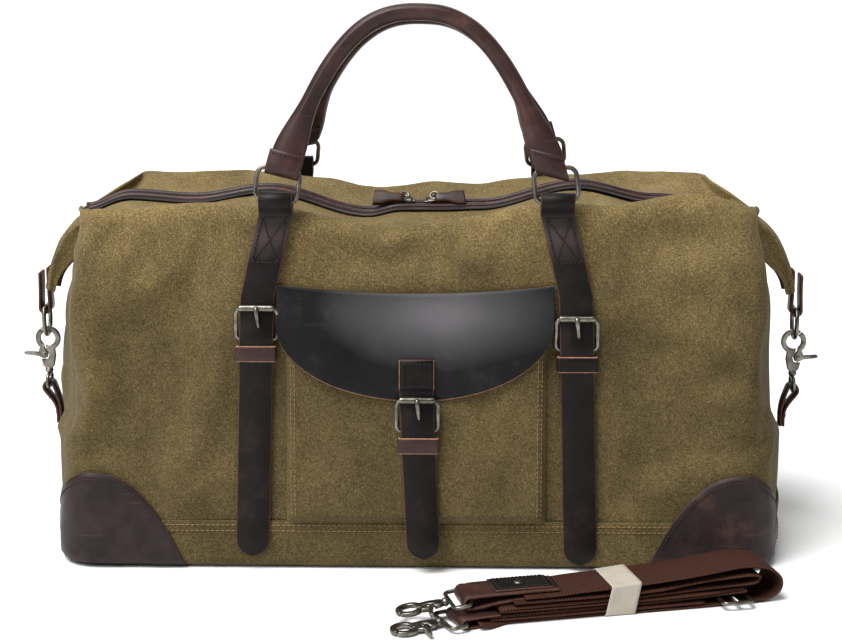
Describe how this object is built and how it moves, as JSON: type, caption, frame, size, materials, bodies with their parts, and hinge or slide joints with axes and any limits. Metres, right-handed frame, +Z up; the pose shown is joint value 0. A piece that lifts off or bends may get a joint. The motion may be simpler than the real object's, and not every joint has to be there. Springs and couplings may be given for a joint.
{
  "type": "duffel bag",
  "caption": "Travel duffel bag in canvas and leather with twin rolled handles, a buckled front pocket, a top zip and a folded detachable shoulder strap.",
  "frame": {"origin": "centre of the bag's flat base, on the surface it stands on", "axes": "+X along the bag's length, -Y out of the pocket side, +Z up"},
  "size_m": [0.6316, 0.3835, 0.4182],
  "materials": {
    "canvas": "washed cotton canvas, olive",
    "strap_leather": "waxed, dark brown with raw tan edges",
    "flap_leather": "polished, near black",
    "patch_leather": "oiled, scuffed brown",
    "handle_leather": "oiled, red-brown",
    "nickel": "antique nickel",
    "zip_tape": "brown zip tape with metal teeth",
    "webbing": "ribbed cotton webbing",
    "lining": "plain cotton",
    "stiffener": "pressed board"
  },
  "bodies": {
    "bag": {"front_panel": "canvas", "back_panel": "canvas", "end_panel_left": "canvas", "end_panel_right": "canvas", "base_panel": "canvas", "base_board": "stiffener", "top_panel_front": "canvas", "top_panel_back": "canvas", "lining": "lining", "zipper_chain": "zip_tape", "ear_left": "canvas", "ear_right": "canvas", "ear_tab_left": "strap_leather", "ear_tab_right": "strap_leather", "corner_patch_front_left": "patch_leather", "corner_patch_front_right": "patch_leather", "corner_patch_back_left": "patch_leather", "corner_patch_back_right": "patch_leather", "pocket_panel": "canvas", "strap_left": "strap_leather", "strap_right": "strap_leather", "back_strap_left": "strap_leather", "back_strap_right": "strap_leather", "buckle_frame_left": "nickel", "buckle_frame_right": "nickel", "keeper_left": "handle_leather", "keeper_right": "handle_leather", "side_anchor_left": "strap_leather", "side_anchor_right": "strap_leather"},
    "front_rings": {"front_ring_left": "nickel", "front_ring_right": "nickel"},
    "front_handle": {"front_handle": "handle_leather"},
    "back_rings": {"back_ring_left": "nickel", "back_ring_right": "nickel"},
    "back_handle": {"back_handle": "handle_leather"},
    "flap": {"pocket_flap": "flap_leather", "flap_strap": "strap_leather", "flap_buckle_frame": "nickel", "flap_keeper": "handle_leather"},
    "flap_prong": {"flap_buckle_prong": "nickel"},
    "prong_left": {"buckle_prong_left": "nickel"},
    "prong_right": {"buckle_prong_right": "nickel"},
    "zip_slider_left": {"zip_slider_left": "nickel"},
    "zip_slider_right": {"zip_slider_right": "nickel"},
    "zip_pull_left": {"zip_pull_left": "strap_leather"},
    "zip_pull_right": {"zip_pull_right": "strap_leather"},
    "d_ring_left": {"d_ring_left": "nickel"},
    "d_ring_right": {"d_ring_right": "nickel"},
    "side_hook_left": {"side_hook_left": "nickel"},
    "side_hook_right": {"side_hook_right": "nickel"},
    "side_gate_left": {"side_gate_left": "nickel"},
    "side_gate_right": {"side_gate_right": "nickel"},
    "shoulder_strap": {"shoulder_webbing": "webbing", "shoulder_tab": "strap_leather", "shoulder_tab_lower": "strap_leather", "shoulder_slider": "nickel", "shoulder_hook_a": "nickel", "shoulder_hook_b": "nickel"},
    "shoulder_gate_a": {"shoulder_gate_a": "nickel"},
    "shoulder_gate_b": {"shoulder_gate_b": "nickel"}
  },
  "joints": [
    {"name": "front_rings_swing", "type": "hinge", "parent": "bag", "child": "front_rings", "pos_m": [0, -0.10219, 0.27652], "axis": [1, 0, 0], "range_deg": [-15, 60]},
    {"name": "front_handle_swing", "type": "hinge", "parent": "front_rings", "child": "front_handle", "pos_m": [0, -0.09714, 0.30026], "axis": [1, 0, 0], "range_deg": [-15, 50]},
    {"name": "back_rings_swing", "type": "hinge", "parent": "bag", "child": "back_rings", "pos_m": [0, 0.10219, 0.27652], "axis": [-1, 0, 0], "range_deg": [-15, 60]},
    {"name": "back_handle_swing", "type": "hinge", "parent": "back_rings", "child": "back_handle", "pos_m": [0, 0.09194, 0.29851], "axis": [-1, 0, 0], "range_deg": [-15, 50]},
    {"name": "flap_open", "type": "hinge", "parent": "bag", "child": "flap", "pos_m": [0, -0.10226, 0.21227], "axis": [-1, 0, 0], "range_deg": [0, 95]},
    {"name": "flap_prong_lift", "type": "hinge", "parent": "flap", "child": "flap_prong", "pos_m": [0, -0.12345, 0.1321], "axis": [-1, 0, 0], "range_deg": [0, 110]},
    {"name": "prong_lift_left", "type": "hinge", "parent": "bag", "child": "prong_left", "pos_m": [0, -0.10727, 0.19741], "axis": [-1, 0, 0], "range_deg": [0, 110]},
    {"name": "prong_lift_right", "type": "hinge", "parent": "bag", "child": "prong_right", "pos_m": [0, -0.10791, 0.19044], "axis": [-1, 0, 0], "range_deg": [0, 110]},
    {"name": "zip_slide_left", "type": "slide", "parent": "bag", "child": "zip_slider_left", "axis": [-0.985, 0, 0.1724], "range_m": [0, 0.1]},
    {"name": "zip_pull_lift_left", "type": "hinge", "parent": "zip_slider_left", "child": "zip_pull_left", "pos_m": [-0.00904, 0, 0.26352], "axis": [0, 1, 0], "range_deg": [0, 85]},
    {"name": "zip_slide_right", "type": "slide", "parent": "bag", "child": "zip_slider_right", "axis": [0.985, 0, 0.1724], "range_m": [0, 0.1]},
    {"name": "zip_pull_lift_right", "type": "hinge", "parent": "zip_slider_right", "child": "zip_pull_right", "pos_m": [0.00904, 0, 0.26352], "axis": [0, -1, 0], "range_deg": [0, 85]},
    {"name": "d_ring_swing_left", "type": "hinge", "parent": "bag", "child": "d_ring_left", "pos_m": [-0.296, 0, 0.176], "axis": [0, -1, 0], "range_deg": [-5.5, 5.5]},
    {"name": "side_hook_swing_left", "type": "hinge", "parent": "bag", "child": "side_hook_left", "pos_m": [-0.296, 0, 0.111], "axis": [0, -1, 0], "range_deg": [-3, 3]},
    {"name": "side_gate_left", "type": "hinge", "parent": "side_hook_left", "child": "side_gate_left", "pos_m": [-0.2995, 0, 0.137], "axis": [0, -1, 0], "range_deg": [0, 25], "stiffness_Nm_per_rad": 0.02, "springref_deg": -11.46},
    {"name": "d_ring_swing_right", "type": "hinge", "parent": "bag", "child": "d_ring_right", "pos_m": [0.296, 0, 0.176], "axis": [0, 1, 0], "range_deg": [-5.5, 5.5]},
    {"name": "side_hook_swing_right", "type": "hinge", "parent": "bag", "child": "side_hook_right", "pos_m": [0.296, 0, 0.111], "axis": [0, 1, 0], "range_deg": [-3, 3]},
    {"name": "side_gate_right", "type": "hinge", "parent": "side_hook_right", "child": "side_gate_right", "pos_m": [0.2995, 0, 0.137], "axis": [0, 1, 0], "range_deg": [0, 25], "stiffness_Nm_per_rad": 0.02, "springref_deg": -11.46},
    {"name": "shoulder_strap_lift", "type": "slide", "parent": "bag", "child": "shoulder_strap", "axis": [0, 0, 1], "range_m": [0, 0.3]},
    {"name": "shoulder_gate_a", "type": "hinge", "parent": "shoulder_strap", "child": "shoulder_gate_a", "pos_m": [0.01129, -0.23033, 0.0116], "axis": [-0.1347, -0.0348, 0.9903], "range_deg": [0, 25], "stiffness_Nm_per_rad": 0.02, "springref_deg": -11.46},
    {"name": "shoulder_gate_b", "type": "hinge", "parent": "shoulder_strap", "child": "shoulder_gate_b", "pos_m": [0.00801, -0.24647, 0.00318], "axis": [-0.0397, -0.0181, 0.999], "range_deg": [0, 25], "stiffness_Nm_per_rad": 0.02, "springref_deg": -11.46}
  ],
  "couplings": [
    {"joint": "side_hook_swing_left", "follows": "d_ring_swing_left", "ratio": -0.5391},
    {"joint": "side_hook_swing_right", "follows": "d_ring_swing_right", "ratio": -0.5391}
  ]
}
